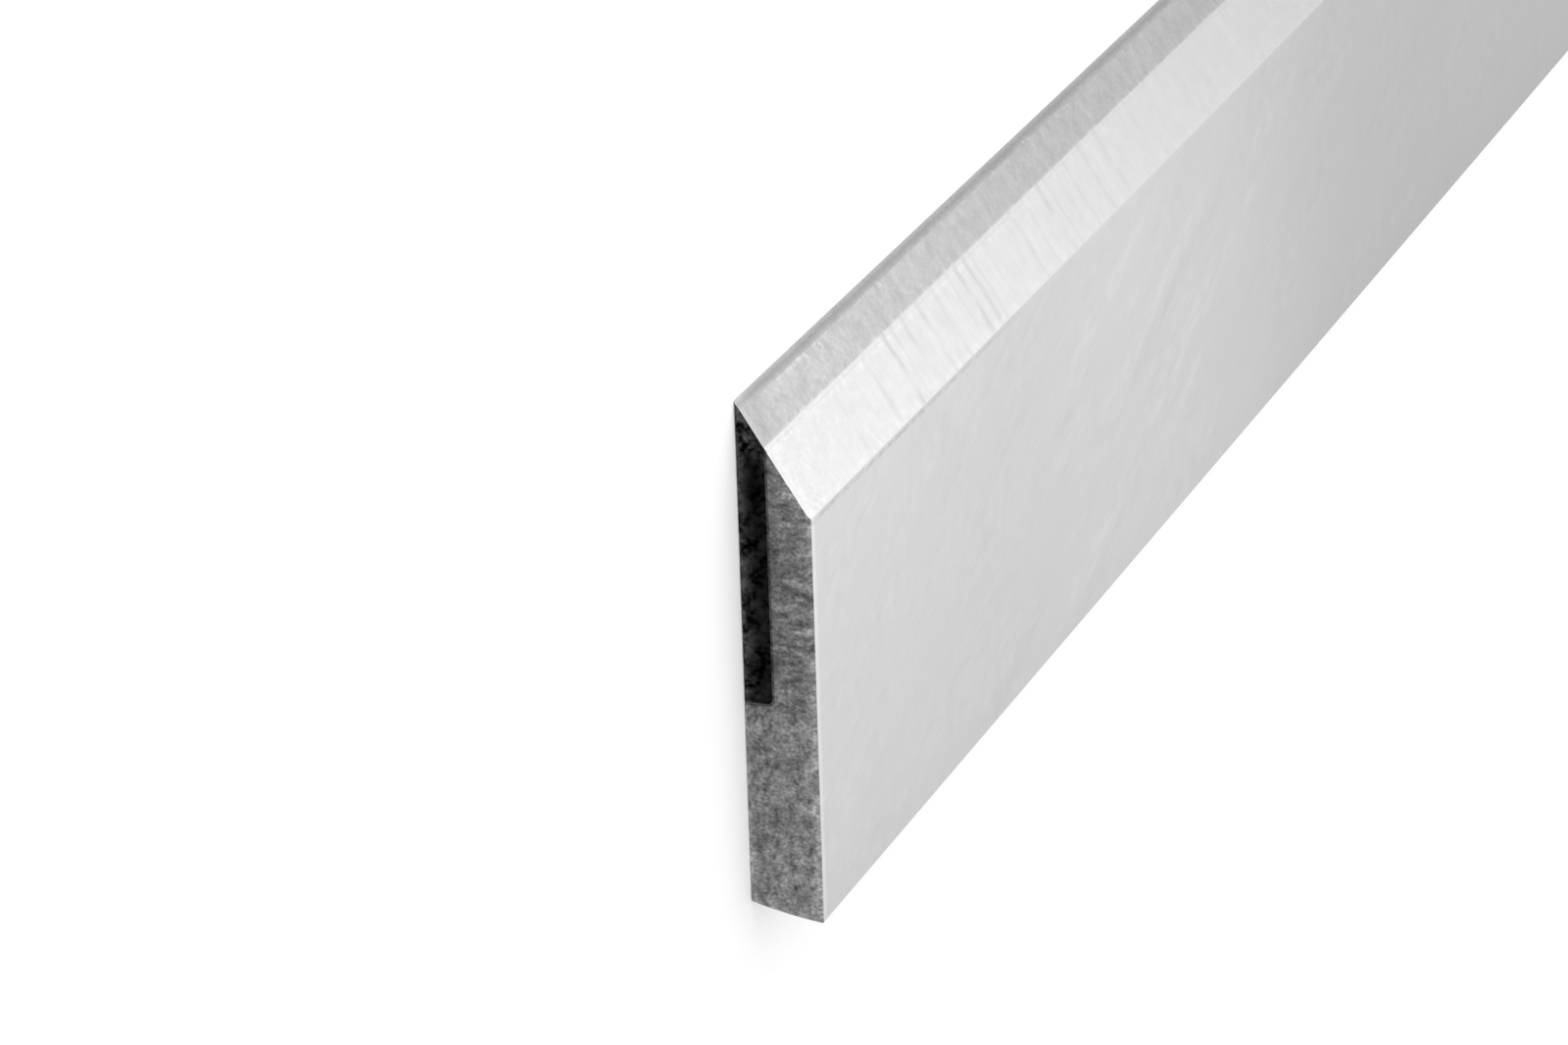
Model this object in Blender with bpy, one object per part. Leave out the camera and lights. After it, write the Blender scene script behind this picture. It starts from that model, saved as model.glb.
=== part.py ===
"""Planer knife with a carbide strip let into its back face, lying on that face.

The knife is one ground section carried along its length. In the section, u runs through the
thickness from the back face to the front face, and v runs from the spine to the cutting edge.
In the world +X is the length, +Y is v and +Z is u, so the bevelled side looks up.
"""

import math

import bmesh
import bpy
from mathutils import Vector

# Blade
LENGTH = 0.260
WIDTH = 0.0216
THICKNESS = 0.0030

# Bevel, ground across the steel and the strip, with a steeper honed land at the cutting edge
BEVEL_ANGLE = math.radians(32.5)
LAND_ANGLE = math.radians(35.5)
LAND_WIDTH = 0.00050

# Carbide strip, measured from the cutting edge and from the back face
STRIP_HEIGHT = 0.01246
STRIP_THICKNESS = 0.0012
STRIP_CORNER_RADIUS = 0.00020

# Braze between the strip and the rebate
BRAZE_THICKNESS = 0.00008
BRAZE_CLEARANCE = 0.00001
BRAZE_RECESS = 0.00002

# Spine: crowned, and lower at the front face than at the back face
SPINE_SLOPE = math.radians(12.0)
SPINE_CROWN_RADIUS = 0.020
SPINE_BACK_RADIUS = 0.00010
SPINE_FRONT_RADIUS = 0.00005
CROWN_STEPS = 6

# Broken edges
HEEL_RADIUS = 0.00008
END_BREAK_LENGTH = 0.00012
FRONT_END_BREAK = 0.00012
BACK_END_BREAK = 0.00006
SPINE_END_BREAK = 0.00008
CORNER_STEPS = 5

SMOOTH_BELOW = math.radians(28.0)
PARALLEL = 1e-6


class Corner:
    """A corner of the section, its rounding, and how far the next side draws in at the ends."""

    def __init__(self, u, v, radius=0.0, end_break=0.0):
        self.place = Vector((u, v))
        self.radius = radius
        self.end_break = end_break


def bevel_height(u):
    """Height of the ground bevel above the spine at thickness u."""
    land_u = LAND_WIDTH * math.sin(LAND_ANGLE)
    if u <= land_u:
        return WIDTH - u / math.tan(LAND_ANGLE)
    land_foot = WIDTH - LAND_WIDTH * math.cos(LAND_ANGLE)
    return land_foot - (u - land_u) / math.tan(BEVEL_ANGLE)


def joint_corners(offset, recess=0.0):
    """The L-shaped line where the strip sits, from the back face to the bevel, moved by offset."""
    floor = WIDTH - STRIP_HEIGHT - offset
    wall = STRIP_THICKNESS + offset
    return [
        Corner(recess, floor),
        Corner(wall, floor, STRIP_CORNER_RADIUS + offset),
        Corner(wall, bevel_height(wall) - recess),
    ]


def crown_corners():
    """The spine from the front face to the back face, a shallow arc over a sloping chord."""
    front = Vector((THICKNESS, 0.0))
    back = Vector((0.0, THICKNESS * math.tan(SPINE_SLOPE)))
    chord = back - front
    half = chord.length / 2
    outward = Vector((chord.y, -chord.x)).normalized()
    if outward.y > 0:
        outward = -outward
    radius = max(SPINE_CROWN_RADIUS, half)
    base = math.sqrt(radius**2 - half**2)
    corners = []
    for step in range(CROWN_STEPS + 1):
        share = step / CROWN_STEPS
        along = (2 * share - 1) * half
        rise = math.sqrt(radius**2 - along**2) - base
        place = front + chord * share + outward * rise
        corners.append(Corner(place.x, place.y, end_break=SPINE_END_BREAK))
    corners[0].radius = SPINE_FRONT_RADIUS
    corners[-1].radius = SPINE_BACK_RADIUS
    corners[-1].end_break = BACK_END_BREAK
    return corners


def body_corners():
    """Steel body: the rebate for the strip, the bevel, the front face and the spine."""
    rebate = joint_corners(BRAZE_THICKNESS + 2 * BRAZE_CLEARANCE)
    heel = Corner(THICKNESS, bevel_height(THICKNESS), HEEL_RADIUS, FRONT_END_BREAK)
    return rebate + [heel] + crown_corners()


def strip_corners():
    """Carbide strip: the cutting edge, the land, its share of the bevel, and its seat."""
    land_u = LAND_WIDTH * math.sin(LAND_ANGLE)
    land_foot = Corner(land_u, bevel_height(land_u))
    seat = joint_corners(0.0)[::-1]
    seat[-1].end_break = BACK_END_BREAK
    return [Corner(0.0, WIDTH), land_foot] + seat


def braze_corners():
    """Braze: the L-shaped film between the strip and the rebate, a little below the surfaces."""
    strip_side = joint_corners(BRAZE_CLEARANCE, BRAZE_RECESS)
    body_side = joint_corners(BRAZE_CLEARANCE + BRAZE_THICKNESS, BRAZE_RECESS)[::-1]
    body_side[-1].end_break = BACK_END_BREAK
    return strip_side + body_side


def drawn_in(corners):
    """Places of the corners, listed clockwise, after each side moves in by its end break."""
    count = len(corners)
    places = []
    for i in range(count):
        here = corners[i].place
        inward = []
        for start, end in ((i - 1, i), (i, (i + 1) % count)):
            side = corners[end].place - corners[start].place
            inward.append((Vector((side.y, -side.x)).normalized(), corners[start].end_break))
        (first, first_break), (second, second_break) = inward
        cross = first.x * second.y - first.y * second.x
        if abs(cross) < PARALLEL:
            places.append(here + second * second_break)
            continue
        shift_x = (first_break * second.y - second_break * first.y) / cross
        shift_y = (second_break * first.x - first_break * second.x) / cross
        places.append(here + Vector((shift_x, shift_y)))
    return places


def rounded(before, here, after, radius):
    """Points of the arc that rounds the corner at here, limited to half of the shorter side."""
    to_before = before - here
    to_after = after - here
    half_angle = to_before.angle(to_after) / 2
    reach = min(radius / math.tan(half_angle), to_before.length / 2, to_after.length / 2)
    start = here + to_before.normalized() * reach
    end = here + to_after.normalized() * reach
    middle = (to_before.normalized() + to_after.normalized()).normalized()
    centre = here + middle * (reach / math.cos(half_angle))
    from_angle = math.atan2(start.y - centre.y, start.x - centre.x)
    to_angle = math.atan2(end.y - centre.y, end.x - centre.x)
    turn = math.remainder(to_angle - from_angle, math.tau)
    arc_radius = (start - centre).length
    points = []
    for step in range(CORNER_STEPS + 1):
        angle = from_angle + turn * step / CORNER_STEPS
        points.append(centre + arc_radius * Vector((math.cos(angle), math.sin(angle))))
    return points


def section_points(corners, places):
    """The section's outline, with each corner that has a radius replaced by its arc."""
    points = []
    for i, corner in enumerate(corners):
        if corner.radius > 0:
            after = places[(i + 1) % len(places)]
            points.extend(rounded(places[i - 1], places[i], after, corner.radius))
        else:
            points.append(places[i])
    return points


def metal(name, colour, roughness):
    """A plain metal finish."""
    material = bpy.data.materials.new(name)
    material.use_nodes = True
    shader = material.node_tree.nodes["Principled BSDF"]
    shader.inputs["Base Color"].default_value = (*colour, 1.0)
    shader.inputs["Metallic"].default_value = 1.0
    shader.inputs["Roughness"].default_value = roughness
    material.diffuse_color = (*colour, 1.0)
    return material


def section_bar(name, corners, half_length, material, parent, drop):
    """A solid with the given section along X, its end edges broken, lowered by drop in Y."""
    full = section_points(corners, [corner.place for corner in corners])
    drawn = section_points(corners, drawn_in(corners))
    stations = [
        (-half_length, drawn),
        (-half_length + END_BREAK_LENGTH, full),
        (half_length - END_BREAK_LENGTH, full),
        (half_length, drawn),
    ]
    mesh = bpy.data.meshes.new(name)
    solid = bmesh.new()
    rings = [[solid.verts.new((x, p.y, p.x)) for p in outline] for x, outline in stations]
    count = len(full)
    for near, far in zip(rings, rings[1:]):
        for i in range(count):
            j = (i + 1) % count
            solid.faces.new((near[i], near[j], far[j], far[i]))
    solid.faces.new(rings[0])
    solid.faces.new(rings[-1])
    bmesh.ops.recalc_face_normals(solid, faces=solid.faces)
    solid.to_mesh(mesh)
    solid.free()
    mesh.shade_smooth()
    mesh.set_sharp_from_angle(angle=SMOOTH_BELOW)
    mesh.materials.append(material)
    piece = bpy.data.objects.new(name, mesh)
    piece.parent = parent
    piece.location = (0.0, -drop, 0.0)
    bpy.context.scene.collection.objects.link(piece)
    return piece


def build():
    """Makes the knife with its bounding box centred over the origin and its back face at Z 0."""
    for old in list(bpy.data.objects):
        bpy.data.objects.remove(old, do_unlink=True)
    knife = bpy.data.objects.new("planer_knife", None)
    bpy.context.scene.collection.objects.link(knife)

    body = body_corners()
    lowest = min(p.y for p in section_points(body, [corner.place for corner in body]))
    middle = (lowest + WIDTH) / 2

    steel = metal("ground_steel", (0.66, 0.66, 0.67), 0.38)
    carbide = metal("tungsten_carbide", (0.40, 0.40, 0.41), 0.42)
    solder = metal("silver_solder", (0.62, 0.58, 0.50), 0.45)
    half = LENGTH / 2
    section_bar("steel_body", body, half, steel, knife, middle)
    section_bar("carbide_tip", strip_corners(), half, carbide, knife, middle)
    section_bar("braze_seam", braze_corners(), half - BRAZE_RECESS, solder, knife, middle)


build()
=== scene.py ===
"""Looks of the planer knife: finer meshes, metal finishes, floor, light and camera."""

import math

import bmesh
import bpy
from mathutils import Matrix, Quaternion, Vector, noise


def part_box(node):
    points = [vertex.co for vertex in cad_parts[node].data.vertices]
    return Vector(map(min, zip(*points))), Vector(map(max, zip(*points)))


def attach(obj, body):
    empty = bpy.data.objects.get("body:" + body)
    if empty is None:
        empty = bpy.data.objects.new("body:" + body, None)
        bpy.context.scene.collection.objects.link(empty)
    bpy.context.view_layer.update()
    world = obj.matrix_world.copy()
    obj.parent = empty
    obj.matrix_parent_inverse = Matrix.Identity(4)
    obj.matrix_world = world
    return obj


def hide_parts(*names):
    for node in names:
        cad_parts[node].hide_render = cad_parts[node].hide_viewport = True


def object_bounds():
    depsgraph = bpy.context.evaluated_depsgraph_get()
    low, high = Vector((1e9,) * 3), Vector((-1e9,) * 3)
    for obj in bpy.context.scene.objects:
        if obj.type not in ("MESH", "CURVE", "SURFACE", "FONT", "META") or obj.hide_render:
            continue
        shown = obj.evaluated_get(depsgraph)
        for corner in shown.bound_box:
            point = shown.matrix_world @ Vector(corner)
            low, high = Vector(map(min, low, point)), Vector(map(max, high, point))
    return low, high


BODY = "root"

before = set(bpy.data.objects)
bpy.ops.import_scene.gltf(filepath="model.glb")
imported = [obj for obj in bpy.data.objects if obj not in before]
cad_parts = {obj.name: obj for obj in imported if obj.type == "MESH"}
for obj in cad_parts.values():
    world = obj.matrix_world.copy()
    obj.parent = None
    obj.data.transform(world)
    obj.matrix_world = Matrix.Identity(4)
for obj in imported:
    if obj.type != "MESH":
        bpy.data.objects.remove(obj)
cad_low, cad_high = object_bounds()

# Camera, as fitted to the edges in the photograph. It looks at a point under the knife, this far
# inside the near end and at this Y
PHOTO_WIDTH = 1600
FOCAL_PIXELS = 7500
SENSOR_MM = 36.0
AIM_INSIDE = 0.005414
AIM_Y = 0.003938
CAMERA_DISTANCE = 0.29152
CAMERA_BACK = Vector((-0.88771, 0.33475, 0.31608))
CAMERA_UP = Vector((0.32636, 0.94179, -0.08083))
NEAREST_SEEN = 0.01
FARTHEST_SEEN = 100.0

# The knife's section. Y runs from the spine to the cutting edge, and Z from the back face to the front
BEVEL_ANGLE = math.radians(32.5)
LAND_ANGLE = math.radians(35.5)
LAND_WIDTH = 0.00050
HALF_LENGTH = cad_high.x
CUTTING_EDGE_Y = cad_high.y
SPINE_Y = cad_low.y
THICKNESS = cad_high.z
STRIP_FLOOR_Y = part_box("carbide_tip")[0].y
STRIP_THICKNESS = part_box("carbide_tip")[1].z
LAND_Z = LAND_WIDTH * math.sin(LAND_ANGLE)
LAND_FOOT_Y = CUTTING_EDGE_Y - LAND_WIDTH * math.cos(LAND_ANGLE)
HEEL_Y = LAND_FOOT_Y - (THICKNESS - LAND_Z) / math.tan(BEVEL_ANGLE)

# The joint and the heel, as distances from the back face measured along the bevel's slope
JOINT_ON_SLOPE = STRIP_THICKNESS / math.sin(BEVEL_ANGLE)
HEEL_ON_SLOPE = THICKNESS / math.sin(BEVEL_ANGLE)

# How face directions are told apart
SAME_WAY = math.cos(math.radians(1.0))
LAND_WAY = math.cos(math.radians(0.9))
ALONG_ENDS = 0.05

# Joining of the meshes, and how they are cut: the strip in steps along it, and the ends in a grid
SMOOTH_BELOW = math.radians(30.0)
COPLANAR = math.radians(0.3)
WELD = 2e-7
ON_THE_PLANE = 1e-8
STRIP_STEP = 0.0005
END_GRID = 0.00012

# Unevenness of the shapes: how deep it goes, and how many features it has per metre
END_ROUGHNESS = 0.000005
END_FEATURES = (9.0, 5200.0, 2600.0)
LAND_WOBBLE = 0.000050
LAND_FEATURES = 700.0

# How far the braze swells over its clearances, and how much more it rises at the bevel
BRAZE_SWELL = 0.0000095
BRAZE_FILL = 0.0000095

# The share of light that each surface throws back before its marks are added
FRONT_STEEL = 0.385
BACK_STEEL = 0.385
SPINE_STEEL = 0.36
BEVEL_STEEL = 0.587
HEEL_STEEL = 0.58
END_STEEL = 0.20
BEVEL_CARBIDE = 0.405
LAND_CARBIDE = 0.282
BACK_CARBIDE = 0.34
SEAT_CARBIDE = 0.40
BACK_SOLDER = 0.45
END_SOLDER = 0.09
SIDES_SOLDER = 0.50

# Raw noise lies around a half. This gain spreads it from about -1 to 1, mostly within the reach
NOISE_GAIN = 4.0
TEXTURE_REACH = 0.8

# The faint lines on the flat faces run at this angle to the length
STREAK_ANGLE = math.radians(17.2)

# The highlight on a flat face: how far it is drawn out, and how its direction leans and sways
BRUSHED = 0.8
BRUSH_LEAN = -0.05
BRUSH_SWAY = 0.10


def bevel_normal(angle):
    """Outward normal of a bevel that makes this angle with the back face at the edge."""
    return Vector((0.0, math.sin(angle), math.cos(angle)))


BEVEL_NORMAL = bevel_normal(BEVEL_ANGLE)
LAND_NORMAL = bevel_normal(LAND_ANGLE)


def region_of(normal):
    """Which surface of the knife a face belongs to."""
    if abs(normal.x) > SAME_WAY:
        return "end"
    if abs(normal.x) > ALONG_ENDS:
        return "end_break"
    if normal.z > SAME_WAY:
        return "front"
    if normal.z < -SAME_WAY:
        return "back"
    if normal.dot(LAND_NORMAL) > LAND_WAY:
        return "land"
    if normal.dot(BEVEL_NORMAL) > SAME_WAY:
        return "bevel"
    return "spine" if normal.y < 0 else "heel"


def faces_of(mesh, region, side=0):
    """The faces of a region, on one side of the middle of the length if a side is given."""
    return [f for f in mesh.faces if region_of(f.normal) == region and f.normal.x * side >= 0]


def slice_faces(mesh, faces, point, normal):
    """Cuts the faces along a plane."""
    edges = {edge for face in faces for edge in face.edges}
    verts = {vert for face in faces for vert in face.verts}
    geometry = list(verts) + list(edges) + list(faces)
    bmesh.ops.bisect_plane(mesh, geom=geometry, plane_co=point, plane_no=normal, dist=ON_THE_PLANE)


def spread(low, high, step):
    """Places between low and high, about a step apart."""
    count = max(int(round((high - low) / step)), 1)
    return [low + (high - low) * i / count for i in range(1, count)]


def working_mesh(node):
    """The node's mesh with its doubled points joined and its flat faces whole again."""
    mesh = bmesh.new()
    mesh.from_mesh(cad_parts[node].data)
    bmesh.ops.remove_doubles(mesh, verts=mesh.verts, dist=WELD)
    bmesh.ops.dissolve_limit(mesh, angle_limit=COPLANAR, verts=mesh.verts, edges=mesh.edges)
    mesh.normal_update()
    return mesh


def grid_ends(mesh):
    """Cuts the end faces into a fine grid."""
    for side in (-1, 1):
        for across in (Vector((0.0, 1.0, 0.0)), Vector((0.0, 0.0, 1.0))):
            reach = [v.co.dot(across) for f in faces_of(mesh, "end", side) for v in f.verts]
            for place in spread(min(reach), max(reach), END_GRID):
                slice_faces(mesh, faces_of(mesh, "end", side), across * place, across)


def roughen_ends(mesh):
    """Sinks the inner points of the end faces by a little, as a rough cut leaves them."""
    inner = [v for v in mesh.verts if all(region_of(f.normal) == "end" for f in v.link_faces)]
    for vert in inner:
        grain = vert.co * Vector(END_FEATURES)
        depth = END_ROUGHNESS * (0.5 + 0.5 * noise.noise(grain))
        vert.co.x -= math.copysign(depth, vert.co.x)


def wobble_land(mesh):
    """Lets the foot of the honed land wander a little up and down the bevel."""
    slope = Vector((0.0, -math.cos(BEVEL_ANGLE), math.sin(BEVEL_ANGLE)))
    foot = [v for v in mesh.verts if {"land", "bevel"} <= {region_of(f.normal) for f in v.link_faces}]
    for vert in foot:
        place = Vector((vert.co.x * LAND_FEATURES, 0.0, 0.0))
        vert.co += slope * LAND_WOBBLE * noise.noise(place)


def swell_braze(mesh):
    """Swells the braze over its clearances, and brings it level with the bevel."""
    top = {vert for face in faces_of(mesh, "bevel") for vert in face.verts}
    shift = {vert: vert.normal * vert.calc_shell_factor() * BRAZE_SWELL for vert in mesh.verts}
    for vert in mesh.verts:
        vert.co += shift[vert]
        if vert in top:
            vert.co.y += BRAZE_FILL / math.sin(BEVEL_ANGLE)


def mark_surfaces(mesh, finishes):
    """Gives each face its finish. Steep edges, and those between two surfaces, become sharp."""
    order = list(dict.fromkeys(finishes.values()))
    regions = {face: region_of(face.normal) for face in mesh.faces}
    for face, region in regions.items():
        face.material_index = order.index(finishes.get(region, finishes["hidden"]))
        face.smooth = True
    for edge in mesh.edges:
        same = len({regions[face] for face in edge.link_faces}) == 1
        edge.smooth = same and edge.calc_face_angle(0.0) < SMOOTH_BELOW


def finish_piece(name, mesh, node, finishes):
    """Turns the mesh into a shown piece that stands for the node."""
    data = bpy.data.meshes.new(name)
    for material in dict.fromkeys(finishes.values()):
        data.materials.append(material)
    mesh.to_mesh(data)
    mesh.free()
    piece = bpy.data.objects.new(name, data)
    bpy.context.scene.collection.objects.link(piece)
    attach(piece, BODY)
    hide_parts(node)


class Finish:
    """A metal material under construction."""

    def __init__(self, name):
        self.material = bpy.data.materials.new(name)
        self.material.use_nodes = True
        self.tree = self.material.node_tree
        self.shader = self.tree.nodes["Principled BSDF"]
        self.shader.inputs["Metallic"].default_value = 1.0
        self.place = self.node("ShaderNodeTexCoord").outputs["Object"]

    def node(self, kind, **settings):
        """A new shader node with these settings."""
        made = self.tree.nodes.new(kind)
        for key, value in settings.items():
            setattr(made, key, value)
        return made

    def feed(self, socket, value):
        """Sets a socket to a number or vector, or links it to another node's result."""
        if isinstance(value, bpy.types.NodeSocket):
            self.tree.links.new(value, socket)
        else:
            socket.default_value = value

    def turned(self, vector, angle):
        """The vector in axes whose X runs at this angle to the knife's length."""
        made = self.node("ShaderNodeVectorRotate", rotation_type="Z_AXIS")
        self.feed(made.inputs["Vector"], vector)
        made.inputs["Angle"].default_value = -angle
        return made.outputs["Vector"]

    def scaled(self, vector, scale):
        """The vector with each part multiplied by its own scale."""
        made = self.node("ShaderNodeVectorMath", operation="MULTIPLY")
        self.feed(made.inputs[0], vector)
        made.inputs[1].default_value = scale
        return made.outputs["Vector"]

    def maths(self, operation, *values):
        """The result of one arithmetic step."""
        made = self.node("ShaderNodeMath", operation=operation)
        for socket, value in zip(made.inputs, values):
            self.feed(socket, value)
        return made.outputs[0]

    def product(self, *values):
        """All the values multiplied together."""
        total = values[0]
        for value in values[1:]:
            total = self.maths("MULTIPLY", total, value)
        return total

    def parts(self, vector):
        """The X, Y and Z of a vector."""
        made = self.node("ShaderNodeSeparateXYZ")
        self.feed(made.inputs[0], vector)
        return made.outputs

    def joined(self, x, y=0.0):
        """A vector with this X and Y, and nought as its Z."""
        made = self.node("ShaderNodeCombineXYZ")
        self.feed(made.inputs["X"], x)
        self.feed(made.inputs["Y"], y)
        return made.outputs[0]

    def grain(self, vector, scale, detail=2.0, roughness=0.5):
        """Noise from about -1 to 1, with this many features per metre along each axis."""
        made = self.node("ShaderNodeTexNoise")
        made.inputs["Scale"].default_value = 1.0
        made.inputs["Detail"].default_value = detail
        made.inputs["Roughness"].default_value = roughness
        self.feed(made.inputs["Vector"], self.scaled(vector, scale))
        return self.maths("MULTIPLY_ADD", made.outputs["Fac"], NOISE_GAIN, -NOISE_GAIN / 2)

    def band(self, value, low, high, to_low=0.0, to_high=1.0):
        """Goes smoothly from to_low to to_high as the value goes from low to high."""
        made = self.node("ShaderNodeMapRange", interpolation_type="SMOOTHSTEP")
        self.feed(made.inputs["Value"], value)
        limits = {"From Min": low, "From Max": high, "To Min": to_low, "To Max": to_high}
        for name, limit in limits.items():
            self.feed(made.inputs[name], limit)
        return made.outputs["Result"]

    def bands(self, value, rows):
        """Several bands of one value, multiplied together."""
        return self.product(*[self.band(value, *row) for row in rows])

    def near(self, value, place, reach):
        """One where the value is at the place, and nought from the reach on."""
        apart = self.maths("ABSOLUTE", self.maths("SUBTRACT", value, place))
        return self.band(apart, 0.0, reach, 1.0, 0.0)

    def swing(self, share, *values):
        """One plus this share of the values' product."""
        return self.maths("MULTIPLY_ADD", self.product(*values), share, 1.0)

    def swayed(self, value, texture, reach):
        """The value moved to and fro by the texture, by up to about this reach."""
        return self.maths("MULTIPLY_ADD", texture, reach, value)

    def colour(self, tone):
        """Gives the metal a grey of this tone."""
        made = self.node("ShaderNodeVectorMath", operation="SCALE")
        made.inputs[0].default_value = (1.0, 1.0, 1.0)
        self.feed(made.inputs["Scale"], tone)
        self.feed(self.shader.inputs["Base Color"], made.outputs["Vector"])

    def roughness(self, texture, least, most):
        """Roughness that follows a texture between these two values."""
        value = self.band(texture, -TEXTURE_REACH, TEXTURE_REACH, least, most)
        self.feed(self.shader.inputs["Roughness"], value)

    def brushed(self, texture):
        """Spreads the highlight across the length, in a direction that sways with the texture."""
        self.shader.inputs["Anisotropic"].default_value = BRUSHED
        turn = self.swayed(math.pi / 2 + BRUSH_LEAN, texture, BRUSH_SWAY)
        tangent = self.joined(self.maths("COSINE", turn), self.maths("SINE", turn))
        self.feed(self.shader.inputs["Tangent"], tangent)

    def bump(self, texture, depth):
        """Relief of this many metres for each unit of the texture."""
        made = self.node("ShaderNodeBump")
        made.inputs["Distance"].default_value = depth
        self.feed(made.inputs["Height"], texture)
        self.feed(self.shader.inputs["Normal"], made.outputs["Normal"])


# The values below have three forms, with places in metres. A fade has from where, to where, the
# share before it and the share after it. A rim or line has its place and its reach to each side. A
# sway is how far something wanders. "Inside" is the distance from the nearer end of the knife

# Front face: fades of painted light and shade by distance inside, a dip of painted shade there, the
# fade of painted shade above the spine, the pale rim at the end, which is a painted highlight, and
# the fade of the small spots
FACE_PAINTED_SHADING = ((0.060, 0.080, 1.0, 0.930), (0.094, 0.108, 1.0, 1.022), (0.001, 0.007, 1.03, 1.0))
FACE_SHADE_DIP = (0.026, 0.017)
FACE_FOOT_SHADE = (0.0004, 0.0024, 0.965, 1.0)
FACE_END_HIGHLIGHT = (0.00032, 0.00036)
SPOTS_FADE = (0.012, 0.026, 1.0, 0.0)

# A flat face has this share of its tone at the spine, and gains this much for each metre above it:
# painted shade that darkens it towards the spine
FACE_SHADE_AT_SPINE = 0.845
FACE_LIGHT_RISE = 10.2

# Heel, by distance from it on the front face: its pale rim, a painted highlight; the dark burr line,
# which is painted shade; the painted glint beyond that; and the small chips. All but the rim fade out
# along the knife
HEEL_SWAY = 0.00004
HEEL_HIGHLIGHT = (0.0, 0.00036)
BURR_SHADE_LINE = (0.00017, 0.00018)
BURR_GLINT = (0.00052, 0.00020)
CHIPS_FADE = (0.00012, 0.00050, 1.0, 0.0)
HEEL_FADE = (0.015, 0.034, 1.0, 0.0)

# Broad soft streaks on the front face. Each runs along the slant from one distance to another, at a
# place across it, both counted from the nearer corner at the spine; then its width, and how much
# lighter it is, or darker below nought. It fades to nothing a little past both of its ends
FACE_STREAKS = (
    (0.0320, 0.0530, 0.0009, 0.0010, 0.080),
    (0.0300, 0.0410, -0.0006, 0.0008, -0.055),
    (0.0440, 0.0530, -0.0013, 0.0007, 0.050),
    (0.0310, 0.0400, -0.0019, 0.0007, 0.055),
    (0.0370, 0.0610, -0.0036, 0.0010, 0.080),
    (0.0370, 0.0620, -0.0050, 0.0010, -0.070),
    (0.0220, 0.0320, -0.0061, 0.0012, -0.055),
    (0.0290, 0.0430, -0.0086, 0.0009, 0.085),
    (0.0440, 0.0660, -0.0081, 0.0012, 0.070),
    (0.0500, 0.0600, -0.0066, 0.0020, 0.035),
    (0.0320, 0.0470, -0.0099, 0.0010, -0.055),
    (0.0450, 0.0560, -0.0104, 0.0007, 0.075),
    (0.0220, 0.0340, 0.0036, 0.0011, -0.040),
    (0.0080, 0.0150, 0.0126, 0.0010, 0.060),
    (0.0220, 0.0270, 0.0089, 0.0010, 0.055),
)

# How far the streaks wander, and the share of its length that each reaches from its middle
STREAK_SWAY = 0.00036
STREAK_REACH = 0.65


def from_end(finish, x):
    """Distance from the nearer end of the knife."""
    return finish.maths("SUBTRACT", HALF_LENGTH, finish.maths("ABSOLUTE", x))


def ground_tone(finish, level, streak_angle):
    """Tone of a ground flat face, mottled with faint slanted lines; also its fine and broad grain."""
    along = finish.turned(finish.place, streak_angle)
    broad = finish.grain(along, (45.0, 520.0, 1.0), 1.0)
    middle = finish.grain(along, (260.0, 1300.0, 1.0))
    fine = finish.grain(along, (420.0, 6000.0, 1.0), 2.0, 0.6)
    cloud = finish.grain(finish.place, (170.0, 260.0, 1.0), 1.0)
    patch = finish.grain(finish.place, (800.0, 1100.0, 1.0))
    islands = finish.band(finish.grain(along, (110.0, 330.0, 1.0), 1.0), -0.3, 0.5, 0.25, 1.25)
    tone = finish.product(
        level, finish.swing(0.012, broad), finish.swing(0.020, middle, islands),
        finish.swing(0.002, fine), finish.swing(0.014, cloud), finish.swing(0.036, patch, islands),
    )
    return tone, fine, broad


def streaked(finish, tone, inside, height):
    """The tone with the front face's broad streaks, and with small spots near the end."""
    flat = finish.joined(inside, height)
    slant = finish.turned(flat, STREAK_ANGLE)
    along, across, _ = finish.parts(slant)
    across = finish.swayed(across, finish.grain(slant, (70.0, 200.0, 1.0), 1.0), STREAK_SWAY)
    broken = finish.band(finish.grain(slant, (520.0, 1300.0, 1.0)), -0.6, 0.6, 0.15, 1.25)
    for start, end, place, width, share in FACE_STREAKS:
        length = finish.near(along, (start + end) / 2, (end - start) * STREAK_REACH)
        tone = finish.product(
            tone, finish.swing(share, length, finish.near(across, place, width), broken)
        )
    spots = finish.grain(flat, (1000.0, 1100.0, 1.0))
    return finish.product(tone, finish.swing(0.02, spots, finish.band(inside, *SPOTS_FADE)))


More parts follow.
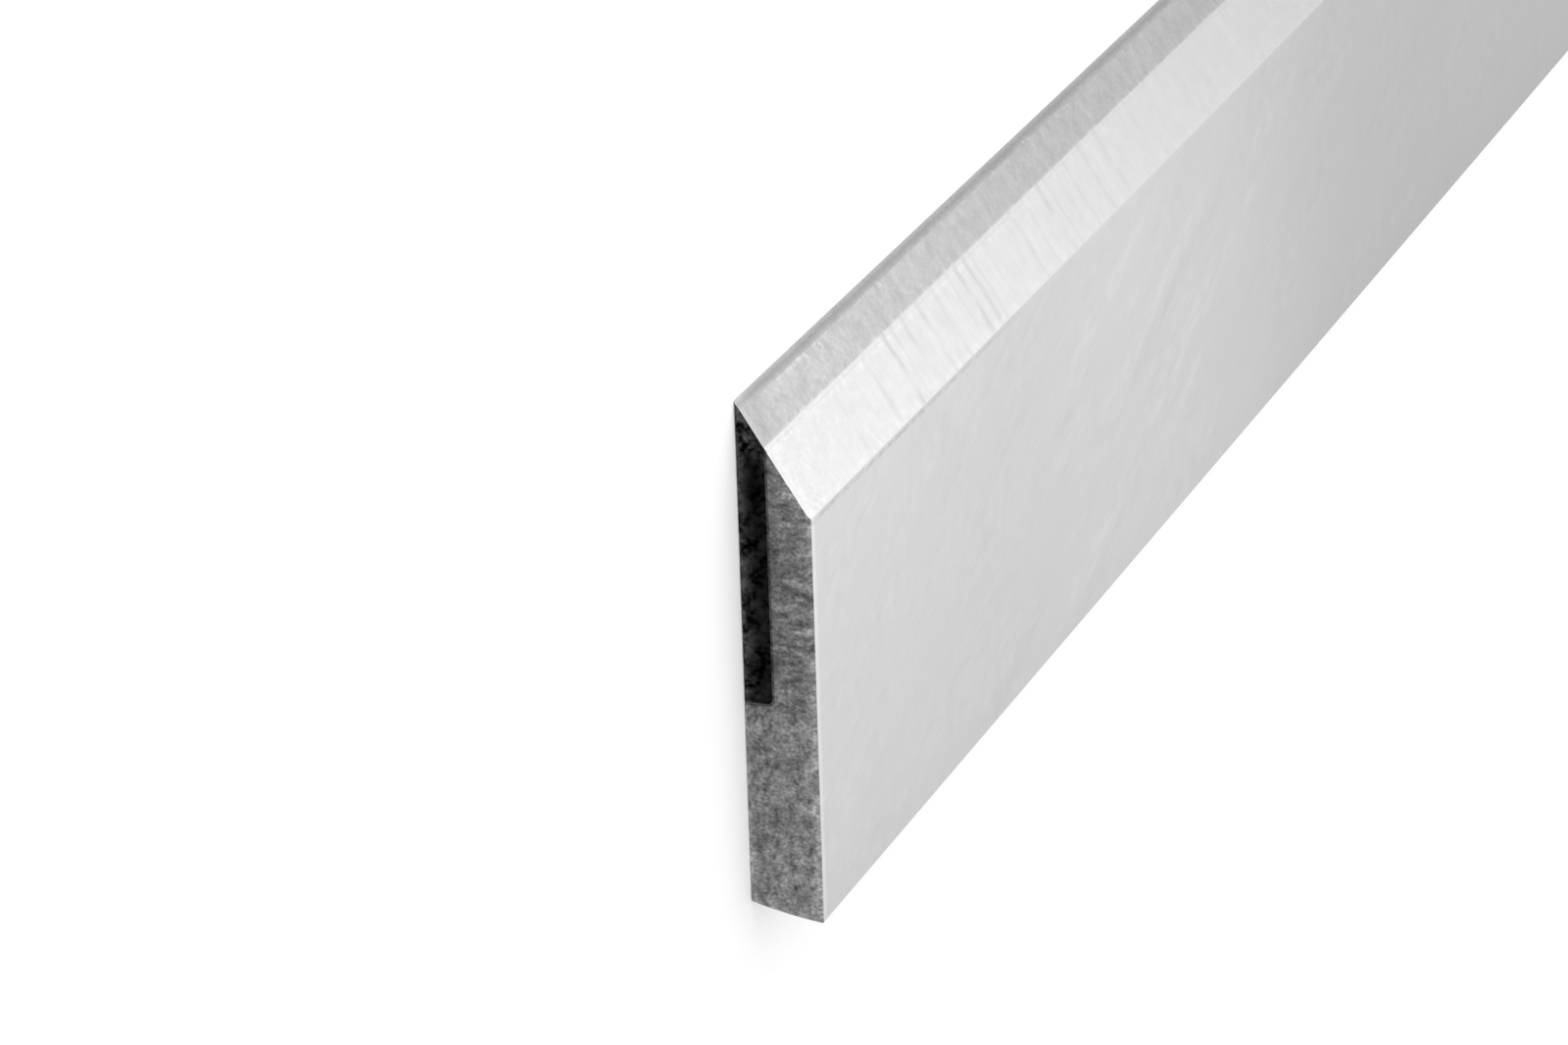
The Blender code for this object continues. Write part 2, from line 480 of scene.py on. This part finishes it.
def heel_marks(finish, tone, inside, below):
    """The tone with the burr line's painted shade, painted highlights at the heel and along the end
    edge, and the small chips under the heel.
    """
    wander = finish.grain(finish.joined(inside), (900.0, 1.0, 1.0))
    below = finish.swayed(below, wander, HEEL_SWAY)
    pieces = finish.grain(finish.place, (1700.0, 900.0, 1.0))
    broken = finish.band(pieces, -0.7, 0.7, 0.40, 1.30)
    reach = finish.band(inside, *HEEL_FADE)
    burr = finish.near(below, *BURR_SHADE_LINE)
    glint = finish.near(below, *BURR_GLINT)
    chips = finish.band(finish.grain(finish.place, (3200.0, 4200.0, 1.0), 1.0), 0.3, 0.7)
    bunch = finish.band(finish.grain(finish.place, (140.0, 10.0, 1.0), 0.0), 0.0, 0.4)
    zone = finish.band(below, *CHIPS_FADE)
    # The burr line is painted shade; the heel's rim, the glint and the end edge are painted highlights
    return finish.product(
        tone, finish.swing(-0.24, burr, broken, reach),
        finish.swing(0.05, glint, finish.band(pieces, 0.1, 0.7), reach),
        finish.swing(0.06, finish.near(below, *HEEL_HIGHLIGHT)),
        finish.swing(-0.26, chips, zone, reach, bunch),
        finish.swing(0.20, finish.near(inside, *FACE_END_HIGHLIGHT)),
    )


def face_finish(name, level, streak_angle, front=False):
    """Surface-ground steel: mottled, with faint slanted streaks and painted shade towards the spine; the
    front face has more marks, and painted light and shade.
    """
    finish = Finish(name)
    x, y, _ = finish.parts(finish.place)
    tone, fine, broad = ground_tone(finish, level, streak_angle)
    height = finish.maths("SUBTRACT", y, SPINE_Y)
    # Painted shade, darker towards the spine
    tone = finish.product(tone, finish.maths("MULTIPLY_ADD", height, FACE_LIGHT_RISE, FACE_SHADE_AT_SPINE))
    if front:
        inside = from_end(finish, x)
        # Painted light and shade along the knife, and painted shade above the spine
        tone = finish.product(
            tone, finish.bands(inside, FACE_PAINTED_SHADING), finish.swing(-0.045, finish.near(inside, *FACE_SHADE_DIP)),
            finish.band(height, *FACE_FOOT_SHADE),
        )
        tone = streaked(finish, tone, inside, height)
        tone = heel_marks(finish, tone, inside, finish.maths("SUBTRACT", HEEL_Y, y))
    finish.colour(tone)
    finish.roughness(fine, 0.225, 0.255)
    finish.brushed(broad)
    finish.bump(fine, 0.00000008)
    return finish.material


# Both parts of the bevel: how far the grinding lines sway
BEVEL_SWAY = 0.00009

# Bevel, steel part: fades of painted shade in the whole tone along the knife, fades of the grinding
# lines and the small marks, and the end rim, a painted highlight
BEVEL_STEEL_SHADE_FADES = ((0.032, 0.058, 1.0, 0.945), (0.056, 0.074, 1.0, 0.965))
BEVEL_LINE_FADES = ((0.006, 0.013, 0.55, 1.0), (0.028, 0.052, 1.0, 0.40))
DABS_FADE = (0.012, 0.032, 1.0, 0.4)
SPECKS_FADE = (0.008, 0.020, 1.0, 0.35)
CRUMBS_FADE = (0.0010, 0.0030, 1.0, 0.0)
BEVEL_END_HIGHLIGHT = (0.0005, 0.0008)

# The dotted pale rims beside the joint and the heel, on the slope, and their fade along the knife
JOINT_RIM = (JOINT_ON_SLOPE + 0.00030, 0.00028)
SLOPE_HEEL_RIM = (HEEL_ON_SLOPE - 0.00020, 0.00030)
RIMS_FADE = (0.020, 0.050, 1.0, 0.3)

# Deeper grinding marks: distance from the nearer end, width, and how much darker each is, or
# lighter below nought
MARKS = (
    (0.0078, 0.00022, 0.05), (0.0118, 0.00025, 0.06), (0.0127, 0.00030, -0.03), (0.0146, 0.00028, 0.14),
    (0.0156, 0.00020, 0.05), (0.0169, 0.00028, 0.10), (0.0189, 0.00024, 0.08), (0.0198, 0.00018, 0.05),
    (0.0209, 0.00024, 0.08), (0.0215, 0.00028, -0.03), (0.0229, 0.00018, 0.05), (0.0240, 0.00030, 0.12),
    (0.0252, 0.00030, 0.11), (0.0260, 0.00018, 0.05), (0.0277, 0.00032, 0.09), (0.0318, 0.00030, 0.06),
    (0.0325, 0.00035, -0.03), (0.0336, 0.00028, 0.07), (0.0358, 0.00035, 0.10), (0.0368, 0.00024, 0.06),
    (0.0382, 0.00038, 0.11), (0.0395, 0.00028, 0.05), (0.0418, 0.00035, 0.06), (0.0431, 0.00040, -0.03),
    (0.0442, 0.00035, 0.05), (0.0488, 0.00045, 0.04), (0.0586, 0.00060, 0.03), (0.0640, 0.00070, -0.03),
)

# The marks' soft flanks reach this many times their width
MARK_SPREAD = 1.3


def slope_place(finish):
    """On the bevel: distance from the nearer end, the same swayed as the lines are, and the slope.

    The slope is the distance from the back face, measured along the bevel.
    """
    x, _, z = finish.parts(finish.place)
    slope = finish.maths("MULTIPLY", z, 1.0 / math.sin(BEVEL_ANGLE))
    inside = from_end(finish, x)
    sway = finish.grain(finish.joined(x, slope), (110.0, 420.0, 1.0), 1.0)
    return inside, finish.swayed(inside, sway, BEVEL_SWAY), slope


def bevel_dots(finish, inside, slope, flat):
    """Dotted rims where the bevel meets the joint and the heel."""
    rims = finish.maths("ADD", finish.near(slope, *JOINT_RIM), finish.near(slope, *SLOPE_HEEL_RIM))
    dots = finish.band(finish.grain(flat, (1700.0, 1500.0, 1.0)), -0.4, 0.6)
    return finish.product(rims, dots, finish.band(inside, *RIMS_FADE))


def bevel_steel_finish(name, level):
    """The steel part of the bevel: ground across, in broken lines that thin out along the knife."""
    finish = Finish(name)
    inside, across, slope = slope_place(finish)
    lines = finish.joined(across, slope)
    broad = finish.grain(lines, (900.0, 360.0, 1.0))
    middle = finish.grain(lines, (2700.0, 620.0, 1.0))
    fine = finish.grain(lines, (6200.0, 1500.0, 1.0), 2.0, 0.6)
    strong = finish.bands(inside, BEVEL_LINE_FADES)
    flat = finish.joined(inside, slope)
    soft = finish.grain(flat, (1050.0, 1250.0, 1.0))
    dabs = finish.band(finish.grain(flat, (1700.0, 1900.0, 1.0), 1.0), 0.15, 0.9)
    speck = finish.grain(flat, (5200.0, 3600.0, 1.0), 1.0)
    # Painted shade along the knife, and a painted highlight at the end
    tone = finish.product(
        level, finish.bands(inside, BEVEL_STEEL_SHADE_FADES), finish.swing(0.026, broad, strong),
        finish.swing(0.030, middle, strong), finish.swing(0.018, fine, strong),
        finish.swing(0.028, soft), finish.swing(0.045, dabs, finish.band(inside, *DABS_FADE)),
        finish.swing(0.032, speck, finish.band(inside, *SPECKS_FADE)),
        finish.swing(0.05, finish.near(inside, *BEVEL_END_HIGHLIGHT)),
        finish.swing(0.08, bevel_dots(finish, inside, slope, flat)),
        finish.swing(0.05, speck, finish.band(inside, *CRUMBS_FADE)),
    )
    worn = finish.band(finish.grain(lines, (560.0, 560.0, 1.0)), -0.6, 0.5, 0.25, 1.25)
    for place, width, depth in MARKS:
        mark = finish.near(across, place, width * MARK_SPREAD)
        tone = finish.product(tone, finish.swing(-depth, mark, worn))
    finish.colour(tone)
    finish.roughness(fine, 0.31, 0.41)
    finish.bump(fine, 0.0000005)
    return finish.material


# Bevel, carbide part: fades of painted light and shade in the whole tone along the knife, the fade of
# the grain, and the pale rim at the end, a painted highlight
BEVEL_CARBIDE_SHADING = (
    (0.0005, 0.0035, 0.90, 1.04), (0.016, 0.045, 1.0, 0.925), (0.050, 0.068, 1.0, 0.975),
)
CARBIDE_GRAIN_FADE = (0.006, 0.034, 1.0, 0.74)
CARBIDE_END_HIGHLIGHT = (0.00025, 0.00032)

# The carbide is lighter beside the joint, as if steel were smeared over it: the fade on the slope, and
# how far it wanders in waves and in blots
SMEAR_FADE = (JOINT_ON_SLOPE - 0.00015, JOINT_ON_SLOPE + 0.00013, 1.0, 1.45)
SMEAR_SWAY = 0.00004
SMEAR_BLOT = 0.00003

# Pale flecks beside the land: their fades along the slope and along the knife
FLECKS_SLOPE_FADE = (0.00065, 0.00145, 1.0, 0.0)
FLECKS_FADE = (0.012, 0.022, 1.0, 0.45)

# Light scratches: distance from the nearer end, width, how far up the slope, and how light. Each
# thins out over its tail
CARBIDE_SCRATCHES = (
    (0.0033, 0.00030, 0.00130, 0.05), (0.0098, 0.00034, 0.00165, 0.11), (0.0116, 0.00030, 0.00150, 0.08),
    (0.0168, 0.00026, 0.00120, 0.09), (0.0219, 0.00028, 0.00130, 0.08), (0.0252, 0.00026, 0.00110, 0.09),
    (0.0326, 0.00032, 0.00115, 0.09), (0.0378, 0.00034, 0.00135, 0.07), (0.0522, 0.00045, 0.00130, 0.06),
)
SCRATCH_TAIL = 0.0006


def carbide_flecks(finish, inside, slope, flat):
    """Pale flecks in bunches beside the land."""
    fleck = finish.band(finish.grain(flat, (1900.0, 2600.0, 1.0), 1.0), 0.0, 0.6)
    bunch = finish.band(finish.grain(finish.joined(inside), (210.0, 1.0, 1.0), 1.0), -0.3, 0.4)
    return finish.product(
        fleck, bunch, finish.band(slope, *FLECKS_SLOPE_FADE), finish.band(inside, *FLECKS_FADE)
    )


def bevel_carbide_finish(name, level):
    """The carbide part of the bevel: greyer, blotchy, lighter where it meets the steel and the land."""
    finish = Finish(name)
    inside, across, slope = slope_place(finish)
    lines = finish.joined(across, slope)
    flat = finish.joined(inside, slope)
    blotch = finish.grain(flat, (1200.0, 1000.0, 1.0), 2.0, 0.6)
    middle = finish.grain(lines, (2200.0, 1500.0, 1.0), 2.0, 0.6)
    speck = finish.grain(flat, (5200.0, 4600.0, 1.0), 1.0)
    strong = finish.band(inside, *CARBIDE_GRAIN_FADE)
    wavy = finish.grain(finish.joined(inside), (420.0, 1.0, 1.0))
    edge = finish.swayed(finish.swayed(slope, blotch, SMEAR_BLOT), wavy, SMEAR_SWAY)
    # Painted light and shade along the knife, and a painted highlight at the end
    tone = finish.product(
        level, finish.band(edge, *SMEAR_FADE), finish.bands(inside, BEVEL_CARBIDE_SHADING),
        finish.swing(0.130, blotch, strong), finish.swing(0.110, middle, strong),
        finish.swing(0.085, speck, strong),
        finish.swing(0.26, carbide_flecks(finish, inside, slope, flat)),
        finish.swing(0.16, finish.near(inside, *CARBIDE_END_HIGHLIGHT)),
    )
    uneven = finish.band(blotch, -0.5, 0.5, 0.2, 1.3)
    for place, width, reach, share in CARBIDE_SCRATCHES:
        scratch = finish.near(across, place, width)
        ends = finish.band(slope, reach - SCRATCH_TAIL, reach, 1.0, 0.0)
        tone = finish.product(tone, finish.swing(share, scratch, ends, uneven))
    finish.colour(tone)
    finish.roughness(middle, 0.31, 0.41)
    finish.bump(middle, 0.0000005)
    return finish.material


# Land: fades by distance up from its foot, down from the cutting edge, and inside; the pale rims at the
# foot, the cutting edge and the end are painted highlights
LAND_FOOT_HIGHLIGHT = (0.00002, 0.00021, 1.26, 1.0)
LAND_FLECKS_FADE = (0.0, 0.00012, 1.0, 0.0)
LAND_EDGE_HIGHLIGHT = (0.00003, 0.00020, 1.28, 1.0)
LAND_END_HIGHLIGHT = (0.0, 0.0020, 1.20, 1.0)


def land_finish(name, level):
    """The honed land along the cutting edge: darker than the bevel, with paler rims of painted
    highlight.
    """
    finish = Finish(name)
    x, y, _ = finish.parts(finish.place)
    above_foot = finish.maths("SUBTRACT", y, LAND_FOOT_Y)
    below_edge = finish.maths("SUBTRACT", CUTTING_EDGE_Y, y)
    speck = finish.grain(finish.place, (3600.0, 5200.0, 1.0))
    slow = finish.grain(finish.place, (420.0, 900.0, 1.0), 1.0)
    flecks = finish.band(speck, 0.2, 0.8)
    # Pale rims of painted highlight at the foot, at the cutting edge and near the end
    finish.colour(finish.product(
        level, finish.band(above_foot, *LAND_FOOT_HIGHLIGHT), finish.band(below_edge, *LAND_EDGE_HIGHLIGHT),
        finish.band(from_end(finish, x), *LAND_END_HIGHLIGHT), finish.swing(0.090, speck),
        finish.swing(0.06, slow), finish.swing(0.22, flecks, finish.band(above_foot, *LAND_FLECKS_FADE)),
    ))
    finish.roughness(speck, 0.30, 0.38)
    finish.bump(speck, 0.0000003)
    return finish.material


def below_bevel(finish, y, z):
    """On an end face: depth below the bevel, square to it."""
    highest = math.sin(BEVEL_ANGLE) * LAND_FOOT_Y + math.cos(BEVEL_ANGLE) * LAND_Z
    highest = finish.maths("MULTIPLY_ADD", z, -math.cos(BEVEL_ANGLE), highest)
    return finish.maths("MULTIPLY_ADD", y, -math.sin(BEVEL_ANGLE), highest)


# Steel end: where the strip lies beside it, and fades by Y, by Z and by depth below the bevel. The
# fades by Z are painted highlights along the back and front edges, the fade below the bevel is a
# painted highlight along its edge, and the last fade by Y is painted shade at the spine's edge
END_BESIDE_STRIP = (STRIP_FLOOR_Y - 0.0012, STRIP_FLOOR_Y + 0.0012)
END_FADES_Y = (
    (STRIP_FLOOR_Y - 0.0015, STRIP_FLOOR_Y + 0.0015, 1.08, 0.84),
    (SPINE_Y + 0.0008, SPINE_Y + 0.0030, 1.12, 1.0),
    (SPINE_Y + 0.0001, SPINE_Y + 0.0004, 0.75, 1.0),
)
END_HIGHLIGHTS_Z = (
    (0.0, 0.0004, 1.28, 1.0),
    (0.0018, THICKNESS, 1.0, 1.16),
    (THICKNESS - 0.00036, THICKNESS - 0.00004, 1.0, 1.22),
)
END_BEVEL_HIGHLIGHT = (0.00010, 0.00085, 1.30, 1.0)

# Steel end: the duller band at the heel, the one beside the joint, and the darkest tone
END_HEEL = (HEEL_Y, 0.0006)
END_JOINT = (STRIP_THICKNESS + 0.00020, 0.00040)
END_DARKEST = 0.03


def end_steel_finish(name, level):
    """The rough-cut steel end: lines across it beside the strip, specks all over, painted highlights
    along its edges and painted shade at the spine.
    """
    finish = Finish(name)
    _, y, z = finish.parts(finish.place)
    lines = finish.grain(finish.place, (1.0, 3100.0, 1200.0), 1.5, 0.6)
    blotch = finish.grain(finish.place, (1.0, 2400.0, 3000.0), 2.0, 0.6)
    coarse = finish.grain(finish.place, (1.0, 1300.0, 1100.0))
    speck = finish.grain(finish.place, (1.0, 8000.0, 7000.0), 1.0)
    beside = finish.band(y, *END_BESIDE_STRIP)
    # Painted highlights along the back and front edges and under the bevel, and painted shade at the
    # spine's edge
    tone = finish.product(
        level, finish.bands(y, END_FADES_Y), finish.bands(z, END_HIGHLIGHTS_Z),
        finish.band(below_bevel(finish, y, z), *END_BEVEL_HIGHLIGHT),
        finish.swing(-0.12, finish.near(y, *END_HEEL)),
        finish.swing(-0.12, finish.near(z, *END_JOINT), beside),
        finish.swing(0.60, lines, finish.maths("MULTIPLY_ADD", beside, 0.8, 0.2)),
        finish.swing(0.64, blotch, finish.swing(-0.3, beside)),
        finish.swing(0.26, coarse), finish.swing(0.40, speck),
    )
    finish.colour(finish.maths("MAXIMUM", tone, END_DARKEST))
    finish.roughness(blotch, 0.42, 0.62)
    finish.bump(blotch, 0.000006)
    return finish.material


# Strip's end: its tone by Z, near black partly from the carbide's own dark grey and partly as painted
# shade, and paler towards the back face as a painted highlight
STRIP_END_TONE_AND_SHADE = (-0.0002, 0.0008, 0.040, 0.0062)
STRIP_BACK_HIGHLIGHT = (0.0, 0.0004, 1.4, 1.0)

# Strip's end: the pale burr along the back edge by Z, a painted highlight, how pale it is by Y, and the
# dimmer tip by Y
STRIP_BURR_HIGHLIGHT = (0.00001, 0.00007)
STRIP_BURR_HIGHLIGHT_FADE = (CUTTING_EDGE_Y - 0.0014, CUTTING_EDGE_Y - 0.0005, 3.5, 1.0)
STRIP_TIP_FADE = (CUTTING_EDGE_Y - 0.0010, CUTTING_EDGE_Y - 0.0004, 1.0, 0.5)

# Strip's end: the paler zone under the bevel, a painted highlight, by depth and by Z, and the darker
# pool by Y and by Z
STRIP_BEVEL_HIGHLIGHT_FADE = (0.00030, 0.00080, 1.0, 0.0)
STRIP_BEVEL_HIGHLIGHT_FROM = (0.00004, 0.00030)
STRIP_POOL_Y = (CUTTING_EDGE_Y - 0.0036, 0.0022)
STRIP_POOL_Z = (0.0006, 0.0007)


def strip_back_edge(finish, y, z):
    """How much paler the strip's end is along its back edge, as a painted highlight, and how much dimmer
    at its tip.
    """
    burr = finish.band(z, *STRIP_BURR_HIGHLIGHT, finish.band(y, *STRIP_BURR_HIGHLIGHT_FADE), 1.0)
    return finish.product(
        finish.band(z, *STRIP_BACK_HIGHLIGHT), burr, finish.band(y, *STRIP_TIP_FADE)
    )


def end_carbide_finish(name):
    """The rough-cut end of the strip: near black, which is partly the carbide's own dark grey and partly
    painted shade, mottled, and paler at its back edge and under the bevel as painted highlights.
    """
    finish = Finish(name)
    _, y, z = finish.parts(finish.place)
    blotch = finish.grain(finish.place, (1.0, 1500.0, 1700.0), 2.0, 0.6)
    speck = finish.grain(finish.place, (1.0, 5600.0, 4600.0))
    mixed = finish.maths("ADD", finish.product(blotch, 1.1), finish.product(speck, 0.6))
    # Painted highlight in the zone under the bevel's edge
    under = finish.band(below_bevel(finish, y, z), *STRIP_BEVEL_HIGHLIGHT_FADE)
    finish.colour(finish.product(
        finish.band(z, *STRIP_END_TONE_AND_SHADE), strip_back_edge(finish, y, z),
        finish.swing(2.6, under, finish.band(z, *STRIP_BEVEL_HIGHLIGHT_FROM)),
        finish.swing(-0.70, finish.near(y, *STRIP_POOL_Y), finish.near(z, *STRIP_POOL_Z)),
        finish.band(mixed, -0.9, 1.2, 0.03, 3.1),
    ))
    finish.roughness(blotch, 0.42, 0.6)
    finish.bump(speck, 0.000005)
    return finish.material


def edge_finish(name, level):
    """Plain metal with faint specks, for the heel and for surfaces that lie hidden."""
    finish = Finish(name)
    speck = finish.grain(finish.place, (3000.0, 3000.0, 3000.0))
    finish.colour(finish.product(level, finish.swing(0.05, speck)))
    finish.roughness(speck, 0.35, 0.5)
    finish.bump(speck, 0.0000005)
    return finish.material


def steel_body(bevel):
    """The ground steel blade."""
    end = end_steel_finish("end_steel", END_STEEL)
    finishes = {
        "front": face_finish("front_face_steel", FRONT_STEEL, STREAK_ANGLE, front=True),
        "back": face_finish("back_face_steel", BACK_STEEL, -STREAK_ANGLE),
        "bevel": bevel,
        "end": end,
        "end_break": end,
        "heel": edge_finish("heel_steel", HEEL_STEEL),
        "spine": face_finish("spine_steel", SPINE_STEEL, 0.0),
        "hidden": end,
    }
    mesh = working_mesh("steel_body")
    grid_ends(mesh)
    mark_surfaces(mesh, finishes)
    roughen_ends(mesh)
    finish_piece("ground_steel_body", mesh, "steel_body", finishes)


def carbide_tip():
    """The carbide strip, with the cutting edge, the land and its part of the bevel."""
    end = end_carbide_finish("end_carbide")
    finishes = {
        "bevel": bevel_carbide_finish("bevel_carbide", BEVEL_CARBIDE),
        "land": land_finish("land_carbide", LAND_CARBIDE),
        "back": face_finish("back_face_carbide", BACK_CARBIDE, -STREAK_ANGLE),
        "end": end,
        "end_break": end,
        "hidden": edge_finish("strip_seat", SEAT_CARBIDE),
    }
    mesh = working_mesh("carbide_tip")
    low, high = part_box("carbide_tip")
    for place in spread(low.x, high.x, STRIP_STEP):
        slice_faces(mesh, mesh.faces[:], Vector((place, 0.0, 0.0)), Vector((1.0, 0.0, 0.0)))
    grid_ends(mesh)
    mark_surfaces(mesh, finishes)
    wobble_land(mesh)
    roughen_ends(mesh)
    finish_piece("ground_carbide_tip", mesh, "carbide_tip", finishes)


def braze_seam(bevel):
    """The film of solder between the strip and the blade, which shares the steel's bevel finish."""
    end = end_steel_finish("end_solder", END_SOLDER)
    finishes = {
        "bevel": bevel,
        "back": face_finish("back_face_solder", BACK_SOLDER, -STREAK_ANGLE),
        "end": end,
        "end_break": end,
        "hidden": edge_finish("solder_sides", SIDES_SOLDER),
    }
    mesh = working_mesh("braze_seam")
    mark_surfaces(mesh, finishes)
    swell_braze(mesh)
    finish_piece("ground_braze_seam", mesh, "braze_seam", finishes)


# Surroundings
FLOOR_HALF = 12.0
FLOOR_COLOUR = (0.80, 0.80, 0.80, 1.0)
FLOOR_GLOW = 0.26
WORLD_COLOUR = (1.0, 1.0, 1.0, 1.0)
WORLD_STRENGTH = 1.0


def seen_directly(tree):
    """One for camera, glossy and transmission rays, and nought for the rest."""
    path = tree.nodes.new("ShaderNodeLightPath")
    total = path.outputs["Is Camera Ray"]
    for name in ("Is Glossy Ray", "Is Transmission Ray"):
        step = tree.nodes.new("ShaderNodeMath")
        step.operation = "MAXIMUM"
        tree.links.new(total, step.inputs[0])
        tree.links.new(path.outputs[name], step.inputs[1])
        total = step.outputs[0]
    return total


def floor_material():
    """White, with a glow of its own for the rays that see it directly."""
    material = bpy.data.materials.new("white_floor")
    material.use_nodes = True
    tree = material.node_tree
    tree.nodes.clear()
    diffuse = tree.nodes.new("ShaderNodeBsdfDiffuse")
    diffuse.inputs["Color"].default_value = FLOOR_COLOUR
    glow = tree.nodes.new("ShaderNodeEmission")
    both = tree.nodes.new("ShaderNodeAddShader")
    out = tree.nodes.new("ShaderNodeOutputMaterial")
    strength = tree.nodes.new("ShaderNodeMath")
    strength.operation = "MULTIPLY"
    tree.links.new(seen_directly(tree), strength.inputs[0])
    strength.inputs[1].default_value = FLOOR_GLOW
    tree.links.new(strength.outputs[0], glow.inputs["Strength"])
    tree.links.new(diffuse.outputs[0], both.inputs[0])
    tree.links.new(glow.outputs[0], both.inputs[1])
    tree.links.new(both.outputs[0], out.inputs["Surface"])
    return material


def make_floor():
    """A wide white floor under the knife."""
    data = bpy.data.meshes.new("floor")
    half = FLOOR_HALF
    corners = [(-half, -half, 0.0), (half, -half, 0.0), (half, half, 0.0), (-half, half, 0.0)]
    data.from_pydata(corners, [], [(0, 1, 2, 3)])
    data.materials.append(floor_material())
    floor = bpy.data.objects.new("floor", data)
    bpy.context.scene.collection.objects.link(floor)


def make_world():
    """Even white light from all round."""
    world = bpy.data.worlds.new("studio")
    bpy.context.scene.world = world
    world.use_nodes = True
    background = world.node_tree.nodes["Background"]
    background.inputs["Color"].default_value = WORLD_COLOUR
    background.inputs["Strength"].default_value = WORLD_STRENGTH


# Cards of light that face back along the knife: place from its near end, roll about its length in
# radians, width and height, and radiance
LAMPS = (
    ("face_card", (0.325, -0.103, 0.184), 0.22, (0.255, 0.214), 0.47),
    ("bevel_card", (0.300, 0.114, 0.286), 0.00, (0.140, 0.246), 1.47),
)


def make_lamps():
    """The cards of light, which only reflections show."""
    near = Vector((cad_low.x, 0.0, 0.0))
    facing = Vector((-1.0, 0.0, 0.0)).to_track_quat("-Z", "Y")
    for name, place, roll, (width, height), radiance in LAMPS:
        data = bpy.data.lights.new(name, "AREA")
        data.shape = "RECTANGLE"
        data.size = width
        data.size_y = height
        data.energy = radiance * math.pi * width * height
        lamp = bpy.data.objects.new(name, data)
        bpy.context.scene.collection.objects.link(lamp)
        lamp.location = near + Vector(place)
        lamp.rotation_mode = "QUATERNION"
        lamp.rotation_quaternion = Quaternion((1.0, 0.0, 0.0), roll) @ facing
        lamp.visible_camera = False
        lamp.visible_diffuse = False


def make_camera():
    """The camera where the photograph's was."""
    data = bpy.data.cameras.new("camera")
    data.sensor_width = SENSOR_MM
    data.lens = FOCAL_PIXELS * SENSOR_MM / PHOTO_WIDTH
    data.clip_start = NEAREST_SEEN
    data.clip_end = FARTHEST_SEEN
    camera = bpy.data.objects.new("camera", data)
    bpy.context.scene.collection.objects.link(camera)
    back = CAMERA_BACK.normalized()
    right = CAMERA_UP.cross(back).normalized()
    up = back.cross(right)
    aim = Vector((cad_low.x + AIM_INSIDE, AIM_Y, 0.0))
    turn = Matrix((right, up, back)).transposed().to_4x4()
    camera.matrix_world = Matrix.Translation(aim + back * CAMERA_DISTANCE) @ turn
    bpy.context.scene.camera = camera


steel_bevel = bevel_steel_finish("bevel_steel", BEVEL_STEEL)
steel_body(steel_bevel)
carbide_tip()
braze_seam(steel_bevel)
make_floor()
make_world()
make_lamps()
make_camera()
bpy.context.scene.view_settings.view_transform = "Standard"
